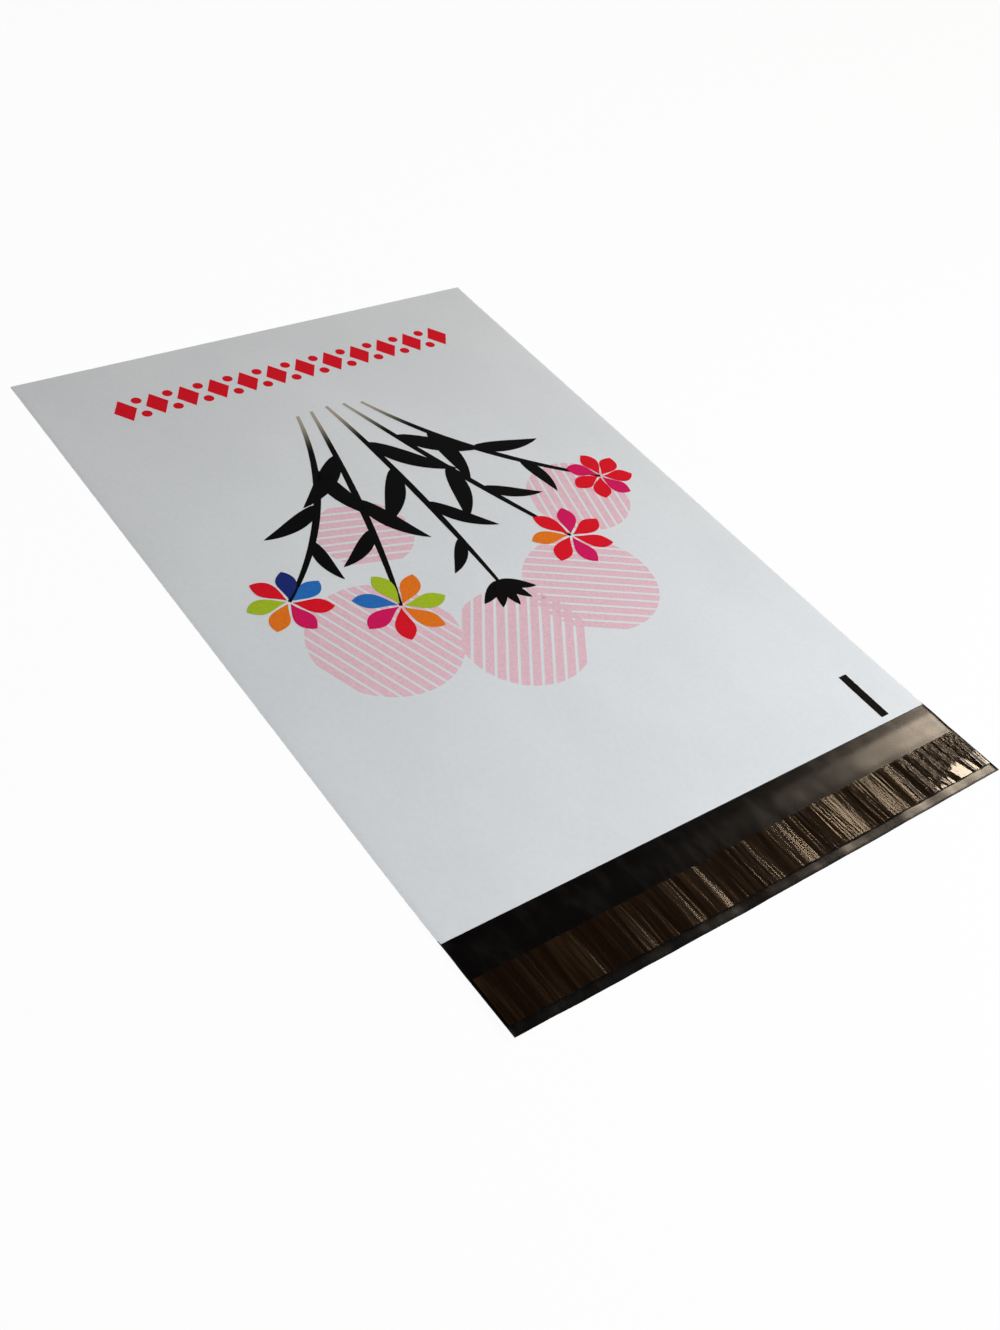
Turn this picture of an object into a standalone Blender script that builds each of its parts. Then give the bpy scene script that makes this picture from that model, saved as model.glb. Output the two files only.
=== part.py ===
# A flat mailing bag of co-extruded film, lying print side up and ready to fill.
# One web of film is folded at the bottom and welded along both sides. The back panel runs on
# past the mouth as a closing lip, which carries an adhesive strip under a puckered release liner.
# The film is grown from its section at the mouth: back to the bottom fold as a solid slab,
# forward as the lip, and then the space between the two films is pushed into the slab.
# Metres, +Z up. The lip points to -Y and the bottom fold to +Y. The origin is at the middle of
# the bag's footprint, on the surface that the bag lies on.

import math

import bmesh
import bpy

# Film
BAG_WIDTH = 0.254
PANEL_LENGTH = 0.352  # front panel, from the mouth to the bottom fold
LIP_LENGTH = 0.043
FILM_THICKNESS = 0.00008
LAYER_GAP = 0.00020  # air between the panels where they lie closed
WELD_WIDTH = 0.0020  # where the two panels are melted together along each side

# Air held in the bag, which lifts the front panel
PILLOW_HEIGHT = 0.0013
PILLOW_FULLNESS = 0.75  # power that rounds the pillow's section across the bag
PILLOW_RISE = 0.090  # distance from the bottom fold to the full height
MOUTH_HEIGHT = 0.0002  # lift left at the middle of the mouth
MOUTH_FALL = 0.110  # distance from the full height down to the mouth

# Curl of the lip and waves of the film, each wave a (wavelength, height, phase)
LEFT_CURL = 0.0022  # lift of the lip's left corner
RIGHT_CURL = 0.0014
CURL_REACH = 0.105  # from the lip's end to where the film lies flat
LIP_WAVES = ((0.067, 0.00014, 0.4), (0.036, 0.00010, 2.2), (0.0205, 0.00007, 4.1))
PANEL_WAVES = ((0.118, 0.00018, 1.1), (0.071, 0.00010, 3.4))
PANEL_SLANT = 0.45  # how far the panel's waves lean along the bag for each metre

# Adhesive strip and release liner on the lip
STRIP_INSET = 0.0045  # from the lip's end to the liner's near edge
LINER_WIDTH = 0.0210
LINER_THICKNESS = 0.00005
LINER_END_INSET = 0.0010
LINER_OVERLAP = 0.0005  # how far the liner covers past the adhesive on each side
ADHESIVE_THICKNESS = 0.00006
ADHESIVE_END_INSET = 0.0018
SEAT_GAP = 0.00015  # clearance between the lip, the adhesive and the liner

# Puckers of the liner, which run along the bag: it stands off the adhesive from the first place
# across the bag to the second, by the height
PUCKERS = (
    (-0.0990, -0.0820, 0.00034),
    (-0.0780, -0.0580, 0.00040),
    (-0.0490, -0.0360, 0.00040),
    (-0.0340, -0.0215, 0.00036),
    (-0.0120, 0.0050, 0.00034),
    (0.0060, 0.0230, 0.00055),
    (0.0290, 0.0520, 0.00060),
    (0.0550, 0.0730, 0.00042),
    (0.0770, 0.0860, 0.00042),
    (0.0865, 0.0945, 0.00036),
    (0.0950, 0.1005, 0.00042),
    (0.1010, 0.1060, 0.00038),
    (0.1065, 0.1120, 0.00045),
    (0.1125, 0.1175, 0.00040),
    (0.1180, 0.1240, 0.00036),
)
PUCKER_LEAN = 0.06  # sideways shift for each metre along the bag

# Facets
FILM_COLUMNS = 48
PANEL_ROWS = 13
LIP_ROWS = 7
FOLD_ANGLES = (25, 45, 60)  # degrees of the steps round the bottom fold, from level
LINER_COLUMNS = 200
STRIP_ROWS = 3

# Worked out from the sizes above
HALF_LENGTH = (PANEL_LENGTH + LIP_LENGTH) / 2
LIP_END = -HALF_LENGTH
MOUTH = LIP_END + LIP_LENGTH
CURL_START = LIP_END + CURL_REACH
FLAT_HEIGHT = 2 * FILM_THICKNESS + LAYER_GAP  # of the bag where it lies closed
FOLD_CENTRE = HALF_LENGTH - FLAT_HEIGHT / 2
# The film's faces from the bottom up: the two of the back panel, then the two of the front
LEVELS = (0.0, FILM_THICKNESS, FILM_THICKNESS + LAYER_GAP, FLAT_HEIGHT)


def waves(table, position):
    """Sum of the sine waves in a table of (wavelength, height, phase)."""
    return sum(
        height * math.sin(2 * math.pi * position / wavelength + phase)
        for wavelength, height, phase in table
    )


def crest(table):
    return sum(height for _, height, _ in table)


def eased(share):
    """0 to 1 with a level start and end."""
    share = min(max(share, 0.0), 1.0)
    return share * share * (3 - 2 * share)


def curl(x, y):
    """Lift of the film near the mouth and on the lip: both corners curl up, and the lip waves."""
    corner = LEFT_CURL if x < 0 else RIGHT_CURL
    reach = max((CURL_START - y) / CURL_REACH, 0.0)
    sideways = abs(x) / (BAG_WIDTH / 2)
    beyond_mouth = eased((MOUTH - y) / LIP_LENGTH)
    ripple = beyond_mouth * (waves(LIP_WAVES, x) + crest(LIP_WAVES))
    return corner * reach**2 * sideways**2 + ripple


def pillow(x, y):
    """Lift of the front panel over the back one, none at the welds and the bottom fold."""
    inner_half = BAG_WIDTH / 2 - WELD_WIDTH
    across = max(1 - (x / inner_half) ** 2, 0.0)
    from_fold = eased((FOLD_CENTRE - y) / PILLOW_RISE)
    from_mouth = eased((y - MOUTH) / MOUTH_FALL)
    height = MOUTH_HEIGHT + (PILLOW_HEIGHT - MOUTH_HEIGHT) * from_mouth
    ripple = waves(PANEL_WAVES, x + PANEL_SLANT * y) + crest(PANEL_WAVES)
    return from_fold * (across**PILLOW_FULLNESS * height + across * from_mouth * ripple)


def film_height(x, y, level):
    lift = curl(x, y)
    if level > 1:
        lift += pillow(x, y)
    return LEVELS[level] + lift


def even_steps(start, end, count):
    return [start + (end - start) * step / count for step in range(count + 1)]


def film_columns():
    """Places across the bag, with each side weld as one column of its own."""
    edge = BAG_WIDTH / 2
    inner = edge - WELD_WIDTH
    return [-edge] + even_steps(-inner, inner, FILM_COLUMNS) + [edge]


def pucker(x, y):
    """Lift of the liner over the adhesive, in a round arch from one end of a pucker to the other."""
    place = x + PUCKER_LEAN * (y - LIP_END - STRIP_INSET)
    for start, end, height in PUCKERS:
        if start < place < end:
            share = (place - start) / (end - start)
            return height * 4 * share * (1 - share)
    return 0.0


def adhesive_point(x, y):
    lip_top = film_height(x, y, 1)
    return x, y, lip_top + SEAT_GAP + ADHESIVE_THICKNESS / 2


def liner_point(x, y):
    adhesive_top = film_height(x, y, 1) + SEAT_GAP + ADHESIVE_THICKNESS
    return x, y, adhesive_top + SEAT_GAP + LINER_THICKNESS / 2 + pucker(x, y)


def material(name, colour, roughness, alpha=1.0):
    made = bpy.data.materials.new(name)
    made.use_nodes = True
    shader = made.node_tree.nodes["Principled BSDF"]
    shader.inputs["Base Color"].default_value = (*colour, 1.0)
    shader.inputs["Roughness"].default_value = roughness
    shader.inputs["Metallic"].default_value = 0.0
    shader.inputs["Alpha"].default_value = alpha
    return made


def collection(name):
    made = bpy.data.collections.new(name)
    bpy.context.scene.collection.children.link(made)
    return made


def shown(name, home, shape, materials):
    """The finished bmesh as an object in the collection."""
    mesh = bpy.data.meshes.new(name)
    shape.to_mesh(mesh)
    shape.free()
    mesh.shade_smooth()
    mesh.set_sharp_from_angle(angle=math.radians(30))
    for each in materials:
        mesh.materials.append(each)
    made = bpy.data.objects.new(name, mesh)
    home.objects.link(made)
    return made


def grow(shape, faces, stations, place, keep_base=False):
    """Extrudes the faces from station to station and returns the faces at the end.

    place(vertex, station) sets each new vertex.
    """
    for station in stations:
        grown = bmesh.ops.extrude_face_region(shape, geom=faces)["geom"]
        if not keep_base:
            bmesh.ops.delete(shape, geom=faces, context="FACES")
        keep_base = False
        faces = [each for each in grown if isinstance(each, bmesh.types.BMFace)]
        for vertex in {corner for face in faces for corner in face.verts}:
            place(vertex, station)
    return faces


def bag_film(home):
    """The folded and welded web, white outside and black inside."""
    outside = material("White outer film", (0.76, 0.77, 0.79), 0.35)
    inside = material("Black inner film", (0.012, 0.011, 0.010), 0.22)
    across = film_columns()
    ends = {0, len(across) - 1}
    film = bmesh.new()
    column = film.verts.layers.int.new("column")
    level = film.verts.layers.int.new("level")

    def columns_of(face):
        return {corner[column] for corner in face.verts}

    def levels_of(face):
        return {corner[level] for corner in face.verts}

    def at_row(vertex, y):
        x = across[vertex[column]]
        vertex.co = x, y, film_height(x, y, vertex[level])

    def at_fold(vertex, degrees):
        angle = math.radians(degrees)
        middle = FLAT_HEIGHT / 2
        y = FOLD_CENTRE + middle * math.sin(angle) / math.sin(math.radians(FOLD_ANGLES[-1]))
        height = middle + (LEVELS[vertex[level]] - middle) * math.cos(angle)
        vertex.co = across[vertex[column]], y, height

    def mouth_faces(levels):
        """The faces of the section at the mouth between two of the film's faces."""
        return [
            face
            for face in film.faces
            if levels_of(face) == levels
            and all(abs(corner.co.y - MOUTH) < FILM_THICKNESS for corner in face.verts)
        ]

    columns, layers = len(across) - 1, len(LEVELS) - 1
    bmesh.ops.create_grid(film, x_segments=columns, y_segments=layers, size=0.5)
    for vertex in film.verts:
        vertex[column] = round((vertex.co.x + 0.5) * columns)
        vertex[level] = round((vertex.co.y + 0.5) * layers)
        at_row(vertex, MOUTH)
    panel = even_steps(MOUTH, FOLD_CENTRE, PANEL_ROWS)[1:]
    lip = even_steps(MOUTH, LIP_END, LIP_ROWS)[1:]
    slab_end = grow(film, film.faces[:], panel, at_row, keep_base=True)
    grow(film, slab_end, FOLD_ANGLES, at_fold)
    grow(film, mouth_faces({0, 1}), lip, at_row)
    opening = [face for face in mouth_faces({1, 2}) if not columns_of(face) & ends]
    grow(film, opening, panel, at_row)
    bmesh.ops.recalc_face_normals(film, faces=film.faces[:])
    for face in film.faces:
        at_edge = len(columns_of(face)) == 1 and columns_of(face) <= ends
        face.material_index = int(levels_of(face) <= {1, 2} and not at_edge)
    return shown("bag_film", home, film, [outside, inside])


def strip(name, home, across, along, point, thickness, material_used):
    """A film through point(across, along), with half of its thickness on each side of it."""
    grid = bmesh.new()
    columns, rows = len(across) - 1, len(along) - 1
    bmesh.ops.create_grid(grid, x_segments=columns, y_segments=rows, size=0.5)
    for vertex in grid.verts:
        column = round((vertex.co.x + 0.5) * columns)
        row = round((vertex.co.y + 0.5) * rows)
        vertex.co = point(across[column], along[row])
    made = shown(name, home, grid, [material_used])
    wall = made.modifiers.new("Film", "SOLIDIFY")
    wall.thickness = thickness
    wall.offset = 0.0
    wall.use_even_offset = True
    return made


def adhesive_strip(home):
    brown = material("Hot-melt adhesive", (0.055, 0.022, 0.008), 0.30)
    near = LIP_END + STRIP_INSET + LINER_OVERLAP
    far = LIP_END + STRIP_INSET + LINER_WIDTH - LINER_OVERLAP
    end = BAG_WIDTH / 2 - ADHESIVE_END_INSET
    across = [-end] + [x for x in film_columns() if abs(x) < end - FILM_THICKNESS] + [end]
    along = even_steps(near, far, STRIP_ROWS)
    return strip("adhesive_strip", home, across, along, adhesive_point, ADHESIVE_THICKNESS, brown)


def release_liner(home):
    clear = material("Clear release film", (0.50, 0.42, 0.36), 0.12, alpha=0.45)
    near, far = LIP_END + STRIP_INSET, LIP_END + STRIP_INSET + LINER_WIDTH
    end = BAG_WIDTH / 2 - LINER_END_INSET
    across = even_steps(-end, end, LINER_COLUMNS)
    along = even_steps(near, far, STRIP_ROWS)
    return strip("release_liner", home, across, along, liner_point, LINER_THICKNESS, clear)


def main():
    for old in list(bpy.data.objects):
        bpy.data.objects.remove(old)
    home = collection("Mailer bag")
    bag_film(home)
    adhesive_strip(home)
    release_liner(home)


main()
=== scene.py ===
import math

import bpy
from mathutils import Matrix, Vector


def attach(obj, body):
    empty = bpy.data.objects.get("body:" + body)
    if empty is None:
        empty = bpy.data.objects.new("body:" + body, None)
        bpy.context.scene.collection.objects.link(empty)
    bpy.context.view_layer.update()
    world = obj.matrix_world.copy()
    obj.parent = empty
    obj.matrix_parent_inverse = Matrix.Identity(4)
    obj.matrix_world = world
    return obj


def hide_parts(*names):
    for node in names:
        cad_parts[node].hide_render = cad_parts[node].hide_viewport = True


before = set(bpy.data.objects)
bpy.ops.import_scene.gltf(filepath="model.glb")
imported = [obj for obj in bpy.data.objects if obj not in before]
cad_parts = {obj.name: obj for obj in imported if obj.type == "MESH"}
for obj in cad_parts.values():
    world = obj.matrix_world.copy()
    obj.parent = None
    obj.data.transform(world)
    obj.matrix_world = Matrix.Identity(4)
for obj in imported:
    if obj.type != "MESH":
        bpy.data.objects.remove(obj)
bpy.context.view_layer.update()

mm = 0.001

# The bag as the solids have it, in metres: the lip points to -Y and the bottom fold to +Y
bag = {
    "width": 0.254,
    "panelLength": 0.352,
    "lipLength": 0.043,
    "filmThickness": 0.00008,
    "layerGap": 0.00020,
    "weldWidth": 0.0020,
    "pillowHeight": 0.0013,
    "pillowFullness": 0.75,
    "pillowRise": 0.090,
    "mouthHeight": 0.0002,
    "mouthFall": 0.110,
    "leftCurl": 0.0022,
    "rightCurl": 0.0014,
    "curlReach": 0.105,
    "lipWaves": ((0.067, 0.00014, 0.4), (0.036, 0.00010, 2.2), (0.0205, 0.00007, 4.1)),
    "panelWaves": ((0.118, 0.00018, 1.1), (0.071, 0.00010, 3.4)),
    "panelSlant": 0.45,
}

halfWidth = bag["width"] / 2
halfLength = (bag["panelLength"] + bag["lipLength"]) / 2
lipEnd = -halfLength
mouth = lipEnd + bag["lipLength"]
curlStart = lipEnd + bag["curlReach"]
backMiddle = bag["filmThickness"] / 2
layerPitch = bag["filmThickness"] + bag["layerGap"]
foldRadius = layerPitch / 2
foldCentre = halfLength - backMiddle - foldRadius
weldStart = halfWidth - bag["weldWidth"]


# Heights of the film, by the same sums as in the solids
def waves(table, position):
    turn = 2 * math.pi * position
    return sum(high * math.sin(turn / long + phase) for long, high, phase in table)


def crest(table):
    return sum(high for _, high, _ in table)


def eased(share):
    share = min(max(share, 0.0), 1.0)
    return share * share * (3 - 2 * share)


def curl(x, y):
    corner = bag["leftCurl"] if x < 0 else bag["rightCurl"]
    reach = max((curlStart - y) / bag["curlReach"], 0.0)
    ripple = waves(bag["lipWaves"], x) + crest(bag["lipWaves"])
    return corner * reach**2 * (x / halfWidth) ** 2 + eased((mouth - y) / bag["lipLength"]) * ripple


def pillow(x, y):
    across = max(1 - (x / weldStart) ** 2, 0.0)
    fromFold = eased((foldCentre - y) / bag["pillowRise"])
    fromMouth = eased((y - mouth) / bag["mouthFall"])
    height = bag["mouthHeight"] + (bag["pillowHeight"] - bag["mouthHeight"]) * fromMouth
    ripple = waves(bag["panelWaves"], x + bag["panelSlant"] * y) + crest(bag["panelWaves"])
    return fromFold * (across ** bag["pillowFullness"] * height + across * fromMouth * ripple)


def panelTop(x, y):
    return bag["filmThickness"] + layerPitch + curl(x, y) + pillow(x, y)


# A node socket that takes Python's own arithmetic
class Wire:
    def __init__(self, tree, socket=None):
        self.tree = tree
        self.socket = socket

    def node(self, kind, settings, values, output=0):
        made = self.tree.nodes.new(kind)
        for name, value in settings.items():
            setattr(made, name, value)
        for name, value in values.items():
            if isinstance(value, Wire):
                self.tree.links.new(value.socket, made.inputs[name])
            else:
                made.inputs[name].default_value = value
        return Wire(self.tree, made.outputs[output])

    def maths(self, operation, first, second):
        return self.node("ShaderNodeMath", {"operation": operation}, {0: first, 1: second})

    def __add__(self, other):
        return self.maths("ADD", self, other)

    def __radd__(self, other):
        return self.maths("ADD", other, self)

    def __sub__(self, other):
        return self.maths("SUBTRACT", self, other)

    def __rsub__(self, other):
        return self.maths("SUBTRACT", other, self)

    def __mul__(self, other):
        return self.maths("MULTIPLY", self, other)

    def __rmul__(self, other):
        return self.maths("MULTIPLY", other, self)

    def between(self, low, high):  # 0 at low and 1 at high, with soft ends
        ends = {"Value": self, "From Min": low, "From Max": high}
        return self.node("ShaderNodeMapRange", {"interpolation_type": "SMOOTHSTEP"}, ends)

    def blend(self, first, second):  # from the first colour to the second as this goes from 0 to 1
        values = {0: self, 6: first, 7: second}
        return self.node("ShaderNodeMix", {"data_type": "RGBA"}, values, output=2)

    def place(self):  # the point on the surface, in the bag's own metres
        return self.node("ShaderNodeTexCoord", {}, {}, output="Object")

    def rays(self, kind):  # 1 for rays of this kind and 0 for the rest
        return self.node("ShaderNodeLightPath", {}, {}, output="Is " + kind + " Ray")

    def axis(self, number):
        return self.node("ShaderNodeSeparateXYZ", {}, {"Vector": self}, output=number)

    def speckle(self, pitch, detail=2.0, roughness=0.5):  # noise of this pitch
        scale = tuple(1 / each for each in pitch)
        moved = self.node("ShaderNodeMapping", {}, {"Vector": self, "Scale": scale})
        values = {"Vector": moved, "Scale": 1.0, "Detail": detail, "Roughness": roughness}
        return self.node("ShaderNodeTexNoise", {}, values)

    def bumped(self, height):  # the height is in metres
        values = {"Height": self, "Strength": 1.0, "Distance": height}
        return self.node("ShaderNodeBump", {}, values)


def colourOf(red, green, blue):
    return (red, green, blue, 1.0)


def newFinish(name):
    material = bpy.data.materials.new(name)
    material.use_nodes = True
    tree = material.node_tree
    return material, tree.nodes["Principled BSDF"], Wire(tree)


def plug(shader, **links):
    for name, wire in links.items():
        shader.id_data.links.new(wire.socket, shader.inputs[name.replace("_", " ")])


# Finishes; each pitch is across the bag, along it and up
whiteFilm = {
    "colour": (0.79, 0.81, 0.84),
    "cloud": (0.74, 0.76, 0.79),
    "cloudPitch": (60 * mm, 90 * mm, 60 * mm),
    "cloudLimits": (0.35, 0.65),  # of the noise, from where it starts to where it is full
    "cloudShare": 0.6,  # of the tone; the rest is fine mottling
    "finePitch": (1.6 * mm, 2.4 * mm, 1.6 * mm),
    "fineLimits": (0.3, 0.7),
    "roughness": 0.56,
    "roughnessChange": 0.08,
    "gloss": 0.30,
    "grainPitch": (0.5 * mm, 0.7 * mm, 0.5 * mm),
    "grainHeight": 0.006 * mm,
    "streakPitch": (3.5 * mm, 120 * mm, 3.5 * mm),
    "streakHeight": 0.010 * mm,
}


def makeWhiteFinish():
    material, shader, wire = newFinish("white_outer_film")
    place = wire.place()
    cloud = place.speckle(whiteFilm["cloudPitch"], detail=3.0).between(*whiteFilm["cloudLimits"])
    fine = place.speckle(whiteFilm["finePitch"], detail=2.0)
    streak = place.speckle(whiteFilm["streakPitch"], detail=3.0)
    share, change = whiteFilm["cloudShare"], whiteFilm["roughnessChange"]
    tone = cloud * share + fine.between(*whiteFilm["fineLimits"]) * (1 - share)
    grain = place.speckle(whiteFilm["grainPitch"], detail=1.0)
    height = grain * (whiteFilm["grainHeight"] / mm) + streak * (whiteFilm["streakHeight"] / mm)
    rough = whiteFilm["roughness"] - change / 2 + fine * change
    colour = tone.blend(colourOf(*whiteFilm["cloud"]), colourOf(*whiteFilm["colour"]))
    plug(shader, Base_Color=colour, Roughness=rough, Normal=height.bumped(mm))
    shader.inputs["Specular IOR Level"].default_value = whiteFilm["gloss"]
    return material


blackFilm = {
    "colour": (0.0023, 0.0019, 0.0019),
    "worn": (0.0050, 0.0042, 0.0038),
    "scuffPitch": (7 * mm, 16 * mm, 7 * mm),
    "scuffLimits": (0.42, 0.72),
    "roughness": 0.185,
    "scuffed": 0.05,  # how much rougher the most scuffed places are
    "marginRougher": 0.045,  # how much rougher the lip's free end is
    "marginStart": 2 * mm,
    "marginEnd": 5 * mm,
    "dimplePitch": (16 * mm, 9 * mm, 16 * mm),
    "dimpleHeight": 0.030 * mm,
    "streakPitch": (2.4 * mm, 60 * mm, 2.4 * mm),
    "streakHeight": 0.003 * mm,
}


def makeBlackFinish():
    material, shader, wire = newFinish("black_inner_film")
    place = wire.place()
    scuff = place.speckle(blackFilm["scuffPitch"], detail=4.0, roughness=0.6)
    scuff = scuff.between(*blackFilm["scuffLimits"])
    dimple = place.speckle(blackFilm["dimplePitch"], detail=0.0)
    streak = place.speckle(blackFilm["streakPitch"], detail=0.0)
    height = dimple * (blackFilm["dimpleHeight"] / mm) + streak * (blackFilm["streakHeight"] / mm)
    colour = scuff.blend(colourOf(*blackFilm["colour"]), colourOf(*blackFilm["worn"]))
    start, end = lipEnd + blackFilm["marginStart"], lipEnd + blackFilm["marginEnd"]
    margin = (1 - place.axis(1).between(start, end)) * blackFilm["marginRougher"]
    rough = blackFilm["roughness"] + scuff * blackFilm["scuffed"] + margin
    plug(shader, Base_Color=colour, Roughness=rough, Normal=height.bumped(mm))
    return material


glue = {
    "colour": (0.012, 0.006, 0.0025),
    "thin": (0.026, 0.013, 0.006),
    "roughness": 0.30,
    "smearPitch": (2.2 * mm, 30 * mm, 2.2 * mm),
    "smearLimits": (0.35, 0.7),
    "smearRougher": 0.12,
    "smearHeight": 0.03 * mm,
}


def makeGlueFinish():
    material, shader, wire = newFinish("hot_melt_glue")
    place = wire.place()
    smear = place.speckle(glue["smearPitch"], detail=3.0).between(*glue["smearLimits"])
    colour = smear.blend(colourOf(*glue["colour"]), colourOf(*glue["thin"]))
    rough = glue["roughness"] + smear * glue["smearRougher"]
    plug(shader, Base_Color=colour, Roughness=rough, Normal=smear.bumped(glue["smearHeight"]))
    return material


clearLiner = {
    "colour": (0.0100, 0.0042, 0.0018),
    # painted sheen: a paler brown on the ribs' raised parts, standing in for the light they catch
    "paintedSheen": (0.028, 0.014, 0.0062),
    "tint": (1.0, 0.84, 0.64),  # of what the liner reflects
    "gloss": 0.30,
    "stripePitch": (5 * mm, 70 * mm, 5 * mm),
    "stripeLimits": (0.4, 0.65),
    "paintedSheenLimits": (0.35, 0.7),  # of a rib, where the liner is painted paler as a painted sheen on the ribs
    "seeThrough": 0.35,
    "cover": 0.5,  # how much less is seen through a rib
    "coverLimits": (0.4, 0.65),
    "roughness": 0.185,
    "ribPitch": (2.3 * mm, 40 * mm, 2.3 * mm),
    "ribHeight": 0.30 * mm,
    "ribRougher": 0.06,
    "ribGrowth": 0.4,  # how much higher the ribs are to the right
    "growthStart": 15 * mm,
    "growthEnd": 60 * mm,
    "crumplePitch": (2.0 * mm, 3.0 * mm, 2.0 * mm),
    "crumpleLimits": (0.5, 0.62),
    "crumpleHeight": 0.45 * mm,
    "crumpleStart": 82 * mm,
    "crumpleEnd": 95 * mm,
    "crumpled": 0.09,  # how much rougher the most crumpled places are
    "pleatStart": 91 * mm,  # from here to the right the near edge is smooth and clear
    "pleatEnd": 94 * mm,
    "pleatReach": (2.5 * mm, 8.5 * mm),  # how far in from the near edge, first and last
    "reachStart": 92 * mm,
    "reachEnd": 112 * mm,
    "reachSoftness": (1.5 * mm, 0.5 * mm),  # it fades from before its reach to past it
    "pleatSmoothness": 0.9,
    "coatRoughness": 0.12,  # where it is pleated
}


def makeLinerFinish():
    material, shader, wire = newFinish("clear_release_liner")
    place = wire.place()
    across, along = place.axis(0), place.axis(1)
    rib = place.speckle(clearLiner["ribPitch"], detail=1.5, roughness=0.5)
    stripe = place.speckle(clearLiner["stripePitch"], detail=2.0)
    stripe = stripe.between(*clearLiner["stripeLimits"])
    # painted sheen: the raised parts of the ribs, within the stripes, are coloured paler brown as
    # if lit
    paintedSheen = rib.between(*clearLiner["paintedSheenLimits"]) * stripe
    colour = paintedSheen.blend(colourOf(*clearLiner["colour"]), colourOf(*clearLiner["paintedSheen"]))
    cover = rib.between(*clearLiner["coverLimits"]) * clearLiner["cover"]
    alpha = 1 - clearLiner["seeThrough"] * (1 - cover)
    near = lipEnd + band["inset"]
    least, most = clearLiner["pleatReach"]
    widening = across.between(clearLiner["reachStart"], clearLiner["reachEnd"])
    reach = widening * (most - least) + least
    before, after = clearLiner["reachSoftness"]
    inward = (along - near - reach).between(-before, after)
    pleats = across.between(clearLiner["pleatStart"], clearLiner["pleatEnd"]) * (1 - inward)
    slack = across.between(clearLiner["crumpleStart"], clearLiner["crumpleEnd"]) * inward
    folds = place.speckle(clearLiner["crumplePitch"], detail=1.0)
    growing = across.between(clearLiner["growthStart"], clearLiner["growthEnd"])
    ribs = rib * (1 + growing * clearLiner["ribGrowth"])
    ribs *= 1 - pleats * clearLiner["pleatSmoothness"]
    height = ribs * (clearLiner["ribHeight"] / mm)
    height += folds * slack * (clearLiner["crumpleHeight"] / mm)
    rough = clearLiner["roughness"] + rib * clearLiner["ribRougher"]
    dull = 1 - folds.between(*clearLiner["crumpleLimits"])
    rough += slack * dull * clearLiner["crumpled"]
    plug(shader, Base_Color=colour, Roughness=rough, Alpha=alpha)
    plug(shader, Coat_Weight=pleats, Normal=height.bumped(mm))
    shader.inputs["Coat Roughness"].default_value = clearLiner["coatRoughness"]
    shader.inputs["Specular Tint"].default_value = colourOf(*clearLiner["tint"])
    shader.inputs["Specular IOR Level"].default_value = clearLiner["gloss"]
    return material


inkColours = {
    "red": (0.80, 0.008, 0.022),
    "pink": (0.86, 0.56, 0.64),
    "black": (0.0016, 0.0013, 0.0014),
    "magenta": (0.72, 0.010, 0.12),
    "orange": (0.88, 0.20, 0.016),
    "lime": (0.42, 0.56, 0.024),
    "blue": (0.024, 0.17, 0.55),
    "navy": (0.014, 0.026, 0.18),
}
ink = {
    "roughness": 0.58,
    "gloss": 0.06,
    "thinness": 0.88,  # how dark the thin places are
    "mottlePitch": (0.9 * mm, 1.4 * mm, 0.9 * mm),
    "mottleLimits": (0.3, 0.7),
    "mottleRougher": 0.06,
    "mottleHeight": 0.004 * mm,
    "fadedColour": (0.42, 0.37, 0.31),
    "fadeStart": 99 * mm,
    "fadeEnd": 124 * mm,
}


def makeInkFinish(name, fades=False):
    material, shader, wire = newFinish(name + "_ink")
    place = wire.place()
    mottle = place.speckle(ink["mottlePitch"], detail=3.0).between(*ink["mottleLimits"])
    strong = inkColours[name]
    thin = [each * ink["thinness"] for each in strong]
    colour = mottle.blend(colourOf(*thin), colourOf(*strong))
    if fades:
        fade = place.axis(1).between(ink["fadeStart"], ink["fadeEnd"])
        colour = fade.blend(colour, colourOf(*ink["fadedColour"]))
    rough = ink["roughness"] + mottle * ink["mottleRougher"]
    plug(shader, Base_Color=colour, Roughness=rough, Normal=mottle.bumped(ink["mottleHeight"]))
    shader.inputs["Specular IOR Level"].default_value = ink["gloss"]
    return material


# Tools for shaping
def selectOnly(*objects):
    bpy.ops.object.select_all(action="DESELECT")
    for each in objects:
        each.select_set(True)
    bpy.context.view_layer.objects.active = objects[0]


def edit(piece):
    selectOnly(piece)
    bpy.ops.object.mode_set(mode="EDIT")
    bpy.ops.mesh.select_all(action="SELECT")


def leaveEdit():
    bpy.ops.object.mode_set(mode="OBJECT")


def evenSteps(start, end, count):
    return [start + (end - start) * step / count for step in range(count + 1)]


def inner(places):
    return places[1:-1]


def cutAcross(axis, places):  # cuts the mesh in edit mode with a plane at each place on the axis
    normal = [0, 0, 0]
    normal[axis] = 1
    for place in places:
        point = [0, 0, 0]
        point[axis] = place
        bpy.ops.mesh.select_all(action="SELECT")
        bpy.ops.mesh.bisect(plane_co=point, plane_no=normal)


def giveWall(piece, thickness, slots=1):  # half the wall on each side
    selectOnly(piece)
    wall = piece.modifiers.new("Wall", "SOLIDIFY")
    wall.thickness = thickness
    wall.offset = 0
    wall.use_even_offset = True
    wall.material_offset = slots - 1
    wall.material_offset_rim = slots - 1
    bpy.ops.object.modifier_apply(modifier=wall.name)


def smooth(piece, degrees=35):
    selectOnly(piece)
    bpy.ops.object.shade_smooth_by_angle(angle=math.radians(degrees))


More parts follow.
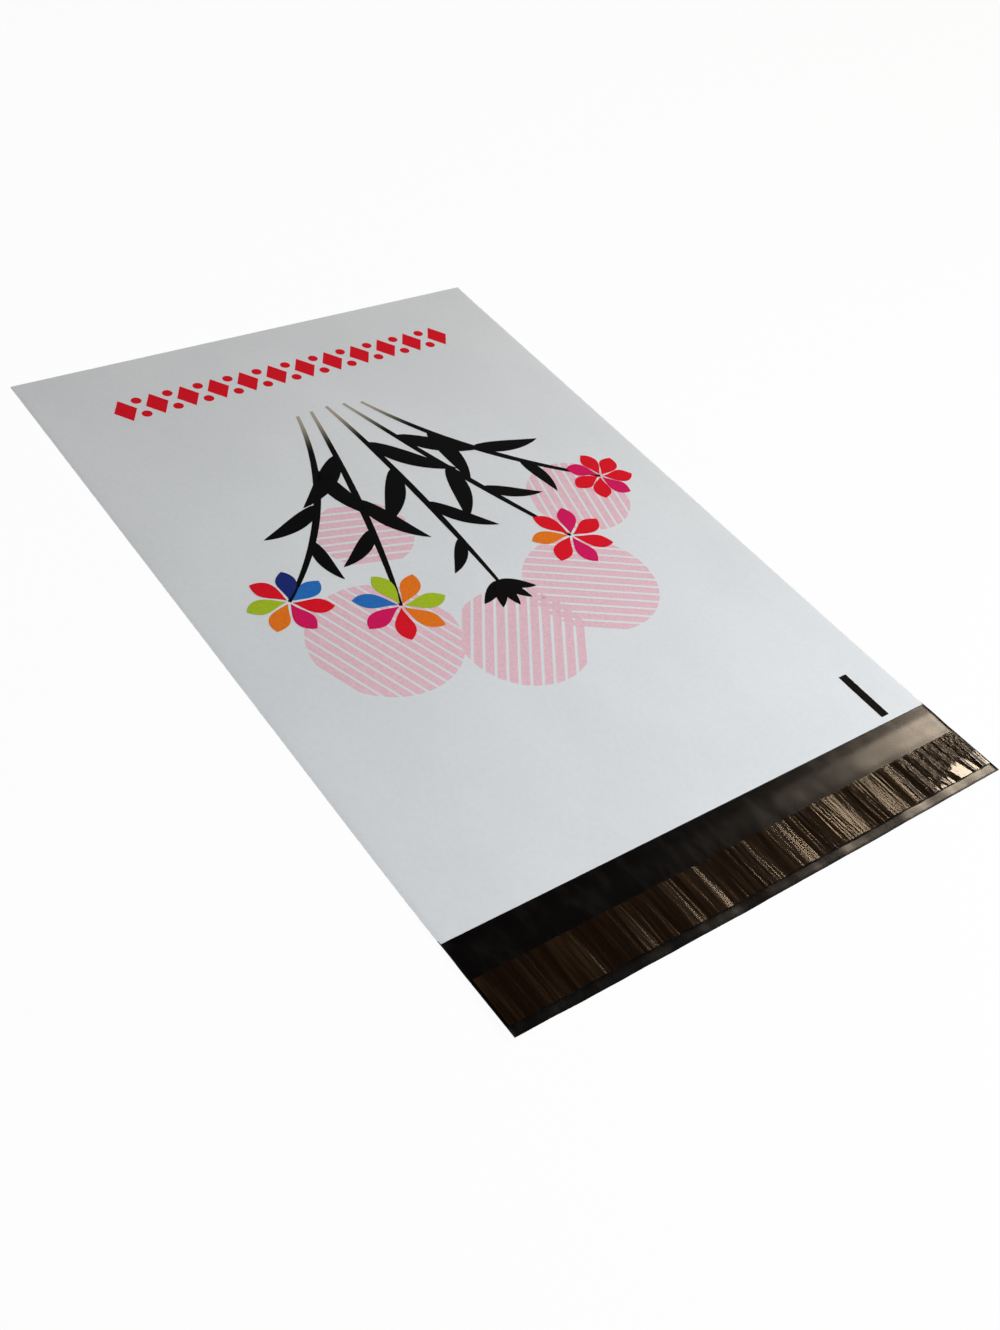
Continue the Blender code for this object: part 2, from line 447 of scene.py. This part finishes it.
def flatStrip(name, nearLeft, farRight, height):  # a plane between two corners
    (left, near), (right, far) = nearLeft, farRight
    bpy.ops.object.select_all(action="DESELECT")
    bpy.ops.mesh.primitive_plane_add(size=1)
    piece = bpy.context.object
    piece.name = name
    bpy.ops.object.mode_set(mode="EDIT")
    bpy.ops.mesh.select_all(action="SELECT")
    bpy.ops.transform.resize(value=(right - left, far - near, 1))
    bpy.ops.transform.translate(value=((left + right) / 2, (near + far) / 2, height))
    leaveEdit()
    return piece


def putOn(piece, node=None):
    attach(piece, "root")
    if node:
        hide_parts(node)


# The glue band and the liner over it, on the lip
band = {
    "inset": 4.5 * mm,  # from the lip's end to the liner
    "linerWidth": 21.0 * mm,
    "linerThickness": 0.05 * mm,
    "linerEndInset": 1.0 * mm,
    "overlap": 0.5 * mm,
    "glueThickness": 0.06 * mm,
    "glueEndInset": 1.8 * mm,
    "seatGap": 0.15 * mm,
    "columnPitch": 0.6 * mm,
    "rowPitch": 1.0 * mm,
    "glueColumnPitch": 3 * mm,
    "smoothAngle": 60,
}
blisters = {
    # the liner stands off the glue from a place to the next, by the height, in millimetres
    "places": (
        (-99, -82, 0.34), (-78, -58, 0.40), (-49, -36, 0.36), (-34, -21.5, 0.32),
        (-12, 5, 0.17), (6, 23, 0.44), (29, 52, 0.64), (55, 73, 0.60), (77, 86, 0.50),
        (86.5, 94.5, 0.44), (95, 100.5, 0.42), (101, 106, 0.38), (106.5, 112, 0.45),
        (112.5, 117.5, 0.40), (118, 124, 0.36),
    ),
    "lean": 0.06,  # sideways shift for each metre along the bag
    "skew": 1.3,  # above 1 a blister is steeper on its right
    "nearShare": 0.25,  # how much higher a blister is at the liner's near edge
    # length, height and phase of each wave across the bag
    "wrinkles": (
        (5.3 * mm, 0.016 * mm, 1.3),
        (3.1 * mm, 0.016 * mm, 0.2),
        (1.9 * mm, 0.018 * mm, 2.0),
    ),
    "drift": 0.35 * mm,  # how far a wrinkle wanders sideways
    "driftPitch": 23 * mm,
    "driftTurn": 35,  # phase of the wandering for each metre across
    "slackStart": 62 * mm,  # from here to the right end the liner is more crumpled
    "slack": 3.2,  # how many times higher the wrinkles are there
    # smooth pleats at the near edge, by the right end: from, to, and how far in they reach
    "pleats": (
        (93, 95.5, 2.5), (96.5, 100, 3.5), (101.5, 105.5, 5.0), (106, 116.5, 9.0),
        (117.5, 121, 6.0),
    ),
    "pleatLean": 0.35,
    "pleatClimb": 0.8,  # width of a pleat's short side, in millimetres
    "pleatSlope": 0.065,  # of a pleat's long side, down to the right
    "pleatRise": 0.040,  # of the pleats, away from the near edge
}


def blisterHeight(x, y):
    place = (x + blisters["lean"] * (y - lipEnd - band["inset"])) / mm
    toFar = (y - lipEnd - band["inset"]) / band["linerWidth"]
    for start, end, height in blisters["places"]:
        if start < place < end:
            share = ((place - start) / (end - start)) ** blisters["skew"]
            near = 1 + blisters["nearShare"] * (0.5 - toFar)
            return height * mm * near * 4 * share * (1 - share)
    return 0.0


def pleated(x, y, creased):  # the lift with the pleats worked into what is creased
    inward = y - lipEnd - band["inset"]
    place = (x + blisters["pleatLean"] * inward) / mm
    climb = blisters["pleatClimb"]
    for start, end, reach in blisters["pleats"]:
        if start < place < end:
            inside = eased(2 * (1 - inward / (reach * mm)))  # 1 over the first half of the reach
            share = inside * eased((end - place) / climb)
            climbed = min((place - start) / climb, 1)
            tilted = climbed * (end - place) * mm * blisters["pleatSlope"]
            return creased + share * (tilted + inward * blisters["pleatRise"] - creased)
    return creased


def wrinkleHeight(x, y):
    slackShare = eased((x - blisters["slackStart"]) / (halfWidth - blisters["slackStart"]))
    slack = 1 + (blisters["slack"] - 1) * slackShare
    turn = 2 * math.pi * y / blisters["driftPitch"] + blisters["driftTurn"] * x
    drift = blisters["drift"] * math.sin(turn)
    return slack * (waves(blisters["wrinkles"], x + drift) + crest(blisters["wrinkles"]))


def linerLift(x, y):
    return pleated(x, y, blisterHeight(x, y) + wrinkleHeight(x, y))


# The film: back panel, bottom fold and front panel are one web
web = {
    "columnPitch": 2.6 * mm,
    "panelRowPitch": 4.5 * mm,
    "lipRowPitch": 2.2 * mm,
    "marginRowPitch": 0.6 * mm,
    "margin": 7 * mm,  # the free end of the lip, which ripples with the liner's blisters
    "marginShare": 0.22,
    "droop": 0.09 * mm,  # of the free end, down to the table
    "marginWaves": ((8.6 * mm, 0.042 * mm, 0.9), (5.7 * mm, 0.014 * mm, 2.9)),
    "edgeRoll": 0.12 * mm,  # lift of the cut edge
    "edgeWidth": 1.4 * mm,
    "edgeColumns": (0.4 * mm, 0.9 * mm, 1.4 * mm),  # cuts beside each side edge
    "sag": 0.12 * mm,  # of the lip between the mouth and the liner
    "weldGap": 0.01 * mm,  # left between the two films at the weld
    "foldSteps": 8,
    "foldTolerance": 1 * mm,
    "foldFade": 12 * mm,  # where the weld opens out into the fold
}


def marginRipple(x, y):
    share = eased(1 - (y - lipEnd) / web["margin"])
    ripple = waves(web["marginWaves"], x) + crest(web["marginWaves"]) - web["droop"]
    return share * (web["marginShare"] * blisterHeight(x, y) + ripple)


def edgeRoll(x, y):  # the cut edges of the lip turn up a little
    inward = min(y - lipEnd, halfWidth - abs(x))
    return web["edgeRoll"] * max(1 - inward / web["edgeWidth"], 0.0) ** 2


def lipSag(y):
    linerFar = lipEnd + band["inset"] + band["linerWidth"]
    share = min(max((y - linerFar) / (mouth - linerFar), 0.0), 1.0)
    return web["sag"] * (math.sin(math.pi * share) ** 2 - math.sin(2 * math.pi * share))


def webHeight(point):  # the web's middle, from where the flat web has this point
    x, y, flat = point
    if y > foldCentre:
        return flat
    lifted = flat + curl(x, y) + marginRipple(x, y)
    if y < mouth:
        lifted = max(lifted + lipSag(y), flat) + edgeRoll(x, y)
    if flat > backMiddle + foldRadius:
        pressed = eased((abs(x) - weldStart) / bag["weldWidth"])  # the weld closes the two films
        pressed *= eased((foldCentre - y) / web["foldFade"])
        lifted += pillow(x, y) - pressed * (bag["layerGap"] - web["weldGap"])
    return lifted


def makeWeb(finishes):
    film = flatStrip("film_web", (-halfWidth, lipEnd), (halfWidth, foldCentre), backMiddle)
    selectOnly(film)
    for vertex in film.data.vertices:
        vertex.select = vertex.co.y > foldCentre - web["foldTolerance"]
    for edge in film.data.edges:
        edge.select = all(film.data.vertices[each].select for each in edge.vertices)
    for face in film.data.polygons:
        face.select = False
    bpy.ops.object.mode_set(mode="EDIT")
    bpy.ops.mesh.select_mode(type="EDGE")
    foldLine = (0, foldCentre, backMiddle + foldRadius)
    bpy.ops.mesh.spin(steps=web["foldSteps"], angle=math.pi, center=foldLine, axis=(1, 0, 0))
    bpy.ops.mesh.extrude_edges_move(
        TRANSFORM_OT_translate={"value": (0, mouth - foldCentre, 0)}
    )
    columns = round(2 * weldStart / web["columnPitch"])
    edges = [halfWidth - each for each in web["edgeColumns"]]
    cutAcross(0, [-each for each in edges] + evenSteps(-weldStart, weldStart, columns) + edges)
    marginEnd = lipEnd + web["margin"]
    rows = inner(evenSteps(lipEnd, marginEnd, round(web["margin"] / web["marginRowPitch"])))
    rows += evenSteps(marginEnd, mouth, round((mouth - marginEnd) / web["lipRowPitch"]))[:-1]
    rows += inner(evenSteps(mouth, foldCentre, round(bag["panelLength"] / web["panelRowPitch"])))
    cutAcross(1, rows)
    leaveEdit()
    for vertex in film.data.vertices:
        vertex.co.z = webHeight(vertex.co)
    for each in finishes:
        film.data.materials.append(each)
    giveWall(film, bag["filmThickness"], slots=len(finishes))
    smooth(film)
    putOn(film, "bag_film")
    print("web of film:", len(film.data.polygons), "faces")


def makeGlueBand(finish):
    end = halfWidth - band["glueEndInset"]
    near = lipEnd + band["inset"] + band["overlap"]
    far = lipEnd + band["inset"] + band["linerWidth"] - band["overlap"]
    piece = flatStrip("glue_band", (-end, near), (end, far), 0)
    edit(piece)
    cutAcross(0, inner(evenSteps(-end, end, round(2 * end / band["glueColumnPitch"]))))
    cutAcross(1, inner(evenSteps(near, far, round((far - near) / band["rowPitch"]))))
    leaveEdit()
    base = bag["filmThickness"] + band["seatGap"] + band["glueThickness"] / 2
    for vertex in piece.data.vertices:
        vertex.co.z = base + curl(vertex.co.x, vertex.co.y)
    piece.data.materials.append(finish)
    giveWall(piece, band["glueThickness"])
    smooth(piece)
    putOn(piece, "adhesive_strip")
    print("glue band:", len(piece.data.polygons), "faces")


def makeLiner(finish):
    end = halfWidth - band["linerEndInset"]
    near, far = lipEnd + band["inset"], lipEnd + band["inset"] + band["linerWidth"]
    piece = flatStrip("liner_film", (-end, near), (end, far), 0)
    edit(piece)
    cutAcross(0, inner(evenSteps(-end, end, round(2 * end / band["columnPitch"]))))
    cutAcross(1, inner(evenSteps(near, far, round((far - near) / band["rowPitch"]))))
    leaveEdit()
    glueTop = bag["filmThickness"] + band["seatGap"] + band["glueThickness"]
    base = glueTop + band["seatGap"] + band["linerThickness"] / 2
    for vertex in piece.data.vertices:
        x, y = vertex.co.x, vertex.co.y
        vertex.co.z = base + curl(x, y) + linerLift(x, y)
    piece.data.materials.append(finish)
    giveWall(piece, band["linerThickness"])
    smooth(piece, band["smoothAngle"])
    putOn(piece, "release_liner")
    print("liner:", len(piece.data.polygons), "faces")


# The print: a bouquet over striped discs, a border of lozenges and the cutter's mark.
# Its outlines are in millimetres on the bag.
printing = {
    "thickness": 0.02 * mm,
    "firstLift": 0.02 * mm,
    "step": 0.03 * mm,  # between one layer of ink and the next
    "cutPitch": 6 * mm,
    "mergeDistance": 0.01 * mm,
}


def inkShape(outline, layer):  # a flat shape: a circle with its corners moved to the outline
    bpy.ops.mesh.primitive_circle_add(vertices=len(outline), radius=1, fill_type="NGON")
    shape = bpy.context.object
    lift = printing["firstLift"] + layer * printing["step"]
    for vertex, (x, y) in zip(shape.data.vertices, outline):
        vertex.co = (x, y, lift)
    return shape


def layInk(name, shapes, finish):  # joins the shapes and lays them on the front panel
    selectOnly(*shapes)
    if len(shapes) > 1:
        bpy.ops.object.join()
    piece = bpy.context.object
    piece.name = name
    xs = [vertex.co.x for vertex in piece.data.vertices]
    ys = [vertex.co.y for vertex in piece.data.vertices]
    edit(piece)
    bpy.ops.mesh.remove_doubles(threshold=printing["mergeDistance"])
    bpy.ops.mesh.select_all(action="SELECT")
    bpy.ops.mesh.quads_convert_to_tris(quad_method="BEAUTY", ngon_method="BEAUTY")
    for axis, places in ((0, xs), (1, ys)):
        low, high = min(places), max(places)
        cuts = max(round((high - low) / printing["cutPitch"]), 1)
        cutAcross(axis, inner(evenSteps(low, high, cuts)))
    bpy.ops.mesh.select_all(action="SELECT")
    bpy.ops.mesh.normals_make_consistent(inside=False)
    leaveEdit()
    for vertex in piece.data.vertices:
        vertex.co.z += panelTop(vertex.co.x, vertex.co.y)
    piece.data.materials.append(finish)
    giveWall(piece, printing["thickness"])
    edit(piece)
    bpy.ops.mesh.normals_make_consistent(inside=False)
    leaveEdit()
    putOn(piece)
    print(name + ":", len(piece.data.polygons), "faces")


def arc(start, bend, end, steps):  # points along a curve that starts out towards the bend
    points = []
    for step in range(steps + 1):
        t = step / steps
        points.append(tuple(
            (1 - t) ** 2 * a + 2 * t * (1 - t) * b + t**2 * c for a, b, c in zip(start, bend, end)
        ))
    return points


def ribbon(points, widthAt):  # the outline of a band along the points
    left, right = [], []
    last = len(points) - 1
    for number, (x, y) in enumerate(points):
        ahead, behind = points[min(number + 1, last)], points[max(number - 1, 0)]
        dx, dy = ahead[0] - behind[0], ahead[1] - behind[1]
        half = widthAt(number / last) / 2 / math.hypot(dx, dy)
        left.append((x - dy * half, y + dx * half))
        right.append((x + dy * half, y - dx * half))
    return left + right[::-1]


blades = {  # leaves and petals
    "fullness": 0.85,
    "tip": 0.25 * mm,
    "bendShare": 0.55,
    "peak": 0.4,  # how far along a leaf is widest
    "steps": 12,
}


def leafWidth(widest, peak):  # widest at the peak, closing to a point at both ends
    power = math.log(0.5) / math.log(peak)

    def widthAt(share):
        return widest * math.sin(math.pi * share**power) ** blades["fullness"] + blades["tip"]

    return widthAt


def blade(start, angle, length, widest, sweep, layer, peak=blades["peak"]):
    # a leaf or petal that leaves the start at the angle, in degrees, and sweeps sideways
    turn = math.radians(angle)
    along, aside = (math.cos(turn), math.sin(turn)), (-math.sin(turn), math.cos(turn))
    bend = [start[k] + along[k] * length * blades["bendShare"] for k in (0, 1)]
    end = [start[k] + along[k] * length + aside[k] * sweep for k in (0, 1)]
    line = arc(start, bend, end, blades["steps"])
    return inkShape(ribbon(line, leafWidth(widest, peak)), layer)


bouquet = {
    # foot, bend and tip of each stem, in millimetres on the bag
    "stems": (
        ((-17, 126), (-34, 60), (-86, 16)),
        ((-9, 127), (-24, 52), (-45, -6)),
        ((0, 128), (6, 60), (2, -14)),
        ((9, 127), (28, 58), (52, 0)),
        ((18, 125), (40, 70), (94, 30)),
    ),
    "footWidth": 1.6,
    "stemWidth": 3.4,
    "stemSteps": 26,
    "stemLayer": 1,
    "leafAngle": 24,
    "leafLayer": 1.5,
    # stem, share of its length, length, width and sweep of the leaf
    "leaves": (
        (0, 0.30, 40, 9.0, 9), (0, 0.52, 34, 8.0, -9), (0, 0.72, 26, 6.5, 7),
        (1, 0.26, 42, 9.5, -10), (1, 0.46, 38, 9.0, 10), (1, 0.66, 28, 7.0, -8),
        (2, 0.22, 44, 10.0, 11), (2, 0.42, 42, 9.5, -11), (2, 0.60, 34, 8.0, 9),
        (2, 0.78, 24, 6.0, -6),
        (3, 0.26, 42, 9.5, 10), (3, 0.46, 38, 9.0, -10), (3, 0.66, 28, 7.0, 8),
        (4, 0.30, 40, 9.0, -9), (4, 0.52, 34, 8.0, 9), (4, 0.72, 26, 6.5, -7),
    ),
    # the middle stem ends in a black seed head of narrow blades
    "seedStem": 2,
    "seedBlades": 5,
    "seedAngle": 24,  # between one blade and the next
    "seedLength": 17,
    "seedWidth": 5.5,
    "seedLift": 3,
    "seedLayer": 1.9,
}
blossoms = {
    "petalWidth": 8.6,
    "petalSweep": 3,
    "petalPeak": 0.6,
    "eye": 1.5,  # from the middle to where a petal starts
    "layers": (3, 3.5),  # petals lie in two layers by turns
    # place, petal length, turn in degrees, and the colours of the petals in order
    "heads": (
        ((-86, 16), 17, 10, ("blue", "navy", "red", "lime", "orange", "magenta", "red")),
        ((-45, -6), 19, 35, ("orange", "lime", "blue", "magenta", "red", "orange", "lime")),
        ((52, 0), 18, 5, ("red", "magenta", "red", "orange", "red", "magenta", "red")),
        ((94, 30), 15, 25, ("red", "red", "magenta", "red", "red", "magenta", "red")),
    ),
}
discs = {
    "stripe": 3.6,
    "stripeSteps": 4,
    "gap": 1.3,
    # place, radius and turn of the stripes
    "rounds": (
        ((-62, -20), 33, 20), ((-8, -44), 29, -35), ((40, -30), 31, 60),
        ((74, 22), 25, -15), ((-34, 40), 22, 75),
    ),
}
border = {
    "middle": 161,
    "halfLength": 93.5,
    "height": 17,
    "count": 12,
    "width": 11.5,
    "dot": 5.0,
    "dotOffset": 5.6,
    "dotCorners": 18,
}
mark = {"left": 103.5, "right": 108.0, "near": -151.5, "far": -125.2}


def onBag(points):
    return [(x * mm, y * mm) for x, y in points]


def stemWidth(share):
    foot, widest = bouquet["footWidth"], bouquet["stemWidth"]
    return (foot + (widest - foot) * math.sin(math.pi * share)) * mm


def stemShapes():
    lines = [arc(*onBag(stem), bouquet["stemSteps"]) for stem in bouquet["stems"]]
    shapes = [inkShape(ribbon(line, stemWidth), bouquet["stemLayer"]) for line in lines]
    for stem, share, length, width, sweep in bouquet["leaves"]:
        line = lines[stem]
        here = round(share * (len(line) - 2))
        (x, y), (nextX, nextY) = line[here], line[here + 1]
        heading = math.degrees(math.atan2(nextY - y, nextX - x))
        angle = heading + math.copysign(bouquet["leafAngle"], sweep)
        size = (length * mm, width * mm, sweep * mm)
        shapes.append(blade((x, y), angle, *size, bouquet["leafLayer"]))
    tipX, tipY = bouquet["stems"][bouquet["seedStem"]][2]
    start = (tipX * mm, (tipY + bouquet["seedLift"]) * mm)
    for number in range(bouquet["seedBlades"]):
        side = number - bouquet["seedBlades"] // 2
        size = (bouquet["seedLength"] * mm, bouquet["seedWidth"] * mm, side * mm)
        angle = -90 + side * bouquet["seedAngle"]
        shapes.append(blade(start, angle, *size, bouquet["seedLayer"]))
    return shapes


def blossomShapes(colour):
    shapes = []
    width, sweep = blossoms["petalWidth"] * mm, blossoms["petalSweep"] * mm
    eye, peak = blossoms["eye"], blossoms["petalPeak"]
    for (x, y), length, turn, colours in blossoms["heads"]:
        for number, name in enumerate(colours):
            if name == colour:
                angle = turn + 360 * number / len(colours)
                cosine, sine = math.cos(math.radians(angle)), math.sin(math.radians(angle))
                start = ((x + eye * cosine) * mm, (y + eye * sine) * mm)
                layer = blossoms["layers"][number % 2]
                shapes.append(blade(start, angle, length * mm, width, sweep, layer, peak=peak))
    return shapes


def discShapes():
    shapes = []
    for (x, y), radius, turn in discs["rounds"]:
        cosine, sine = math.cos(math.radians(turn)), math.sin(math.radians(turn))
        pitch = discs["stripe"] + discs["gap"]
        count = int(2 * radius / pitch)
        start = -count * pitch / 2 + discs["gap"] / 2
        for number in range(count):
            low = start + number * pitch
            across = evenSteps(low, low + discs["stripe"], discs["stripeSteps"])
            upper = [(u, math.sqrt(radius**2 - u**2)) for u in across]
            outline = upper + [(u, -v) for u, v in reversed(upper)]
            turned = [(x + u * cosine - v * sine, y + u * sine + v * cosine) for u, v in outline]
            shapes.append(inkShape(onBag(turned), 0))
    return shapes


def borderShapes():
    shapes = []
    high, wide, radius = border["height"] / 2, border["width"] / 2, border["dot"] / 2
    outermost = border["halfLength"] - wide
    middles = evenSteps(-outermost, outermost, border["count"] - 1)
    for x in middles:
        y = border["middle"]
        lozenge = [(x - wide, y), (x, y - high), (x + wide, y), (x, y + high)]
        shapes.append(inkShape(onBag(lozenge), 0))
    corners = border["dotCorners"]
    turns = [math.radians(360 * each / corners) for each in range(corners)]
    for left, right in zip(middles, middles[1:]):
        for side in (-1, 1):
            x, y = (left + right) / 2, border["middle"] + side * border["dotOffset"]
            dot = [(x + radius * math.cos(each), y + radius * math.sin(each)) for each in turns]
            shapes.append(inkShape(onBag(dot), 0))
    return shapes


def makePrint():
    bpy.ops.object.select_all(action="DESELECT")
    layInk("print_discs", discShapes(), makeInkFinish("pink"))
    layInk("print_stems", stemShapes(), makeInkFinish("black", fades=True))
    redFinish = makeInkFinish("red")
    layInk("print_border", borderShapes(), redFinish)
    for colour in ("red", "magenta", "orange", "lime", "blue", "navy"):
        finish = redFinish if colour == "red" else makeInkFinish(colour)
        layInk("print_petals_" + colour, blossomShapes(colour), finish)
    left, right, near, far = (mark[each] for each in ("left", "right", "near", "far"))
    corners = [(left, near), (right, near), (right, far), (left, far)]
    layInk("print_mark", [inkShape(onBag(corners), 0)], makeInkFinish("black"))


# Floor, lights and camera
studio = {
    "ambient": 0.22,
    "ambientColour": (1.0, 0.96, 0.89),
    "keyPlace": (0.30, -0.50, 0.70),
    "keyTarget": (0, -0.02, 0),
    "keySize": 0.5,
    "keyPower": 6.0,
    "keyColour": (0.89, 0.955, 1.0),
    "sidePlace": (1.184, 0.191, 0.833),
    "sideTarget": (0.1, -0.18, 0),
    "sideSize": 0.3,
    "sidePower": 4.1,
    "sideColour": (1.0, 0.83, 0.64),
    "ceilingStart": 0.25,  # how high the white backdrop goes, as the ray's own rise
    "ceilingEnd": 0.55,
    "floorSize": 8.0,
    "floorDrop": 0.3 * mm,  # under the bag
    "floorColour": (0.85, 0.85, 0.85),
    "floorRoughness": 0.8,
    "floorWhite": 0.955,  # how much of the floor's brightness doesn't depend on the lamps
}


def makeFloor():
    bpy.ops.object.select_all(action="DESELECT")
    middle = (0, 0, -studio["floorDrop"])
    bpy.ops.mesh.primitive_plane_add(size=studio["floorSize"], location=middle)
    floor = bpy.context.object
    floor.name = "floor"
    material, shader, wire = newFinish("studio_floor")
    shader.inputs["Base Color"].default_value = colourOf(*studio["floorColour"])
    shader.inputs["Roughness"].default_value = studio["floorRoughness"]
    seen = wire.rays("Camera")
    glow = wire.node("ShaderNodeEmission", {}, {"Color": colourOf(1, 1, 1), "Strength": 1.0})
    matt = Wire(wire.tree, shader.outputs["BSDF"])
    both = wire.node("ShaderNodeMixShader", {}, {0: seen * studio["floorWhite"], 1: matt, 2: glow})
    output = wire.tree.nodes["Material Output"]
    wire.tree.links.new(both.socket, output.inputs["Surface"])
    floor.data.materials.append(material)


def makeWorld():
    world = bpy.data.worlds.new("studio")
    world.use_nodes = True
    bpy.context.scene.world = world
    wire = Wire(world.node_tree)
    seen, glossy, passing = (wire.rays(kind) for kind in ("Camera", "Glossy", "Transmission"))
    rise = wire.node("ShaderNodeTexCoord", {}, {}, output="Generated").axis(2)
    backdrop = 1 - rise.between(studio["ceilingStart"], studio["ceilingEnd"])
    white = seen + passing + glossy * backdrop
    plain = 1 - (seen + passing + glossy)
    strength = white + plain * studio["ambient"]
    background = world.node_tree.nodes["Background"]
    colour = plain.blend(colourOf(1, 1, 1), colourOf(*studio["ambientColour"]))
    world.node_tree.links.new(colour.socket, background.inputs["Color"])
    world.node_tree.links.new(strength.socket, background.inputs["Strength"])


def addLamp(kind):  # a square lamp, with the values in studio that start with its kind
    place, target = studio[kind + "Place"], studio[kind + "Target"]
    bpy.ops.object.light_add(type="AREA", location=place)
    lamp = bpy.context.object
    lamp.name = kind + "_lamp"
    lamp.data.shape = "SQUARE"
    lamp.data.size = studio[kind + "Size"]
    lamp.data.energy = studio[kind + "Power"]
    lamp.data.color = studio[kind + "Colour"]
    lamp.rotation_mode = "QUATERNION"
    lamp.rotation_quaternion = (Vector(target) - Vector(place)).to_track_quat("-Z", "Y")
    lamp.visible_camera = False


camera = {
    "place": (-0.34879, -0.36727, 0.42491),
    "forward": (0.52044, 0.50836, -0.68608),
    "upward": (0.31076, 0.63562, 0.70670),
    "lens": 40.818,
    "sensor": 36,
    "nearest": 0.01,
}


def makeCamera():
    forward = Vector(camera["forward"]).normalized()
    sideways = forward.cross(Vector(camera["upward"])).normalized()
    upward = sideways.cross(forward)
    bpy.ops.object.camera_add()
    made = bpy.context.object
    made.name = "photo_camera"
    turn = Matrix((sideways, upward, -forward)).transposed().to_4x4()
    made.matrix_world = Matrix.Translation(camera["place"]) @ turn
    made.data.sensor_width = camera["sensor"]
    made.data.lens = camera["lens"]
    made.data.clip_start = camera["nearest"]
    bpy.context.scene.camera = made


makeCamera()
makeFloor()
makeWorld()
addLamp("key")
addLamp("side")
bpy.context.scene.view_settings.view_transform = "Standard"
print("studio ready")

makeWeb([makeBlackFinish(), makeWhiteFinish()])
makeGlueBand(makeGlueFinish())
makeLiner(makeLinerFinish())
makePrint()
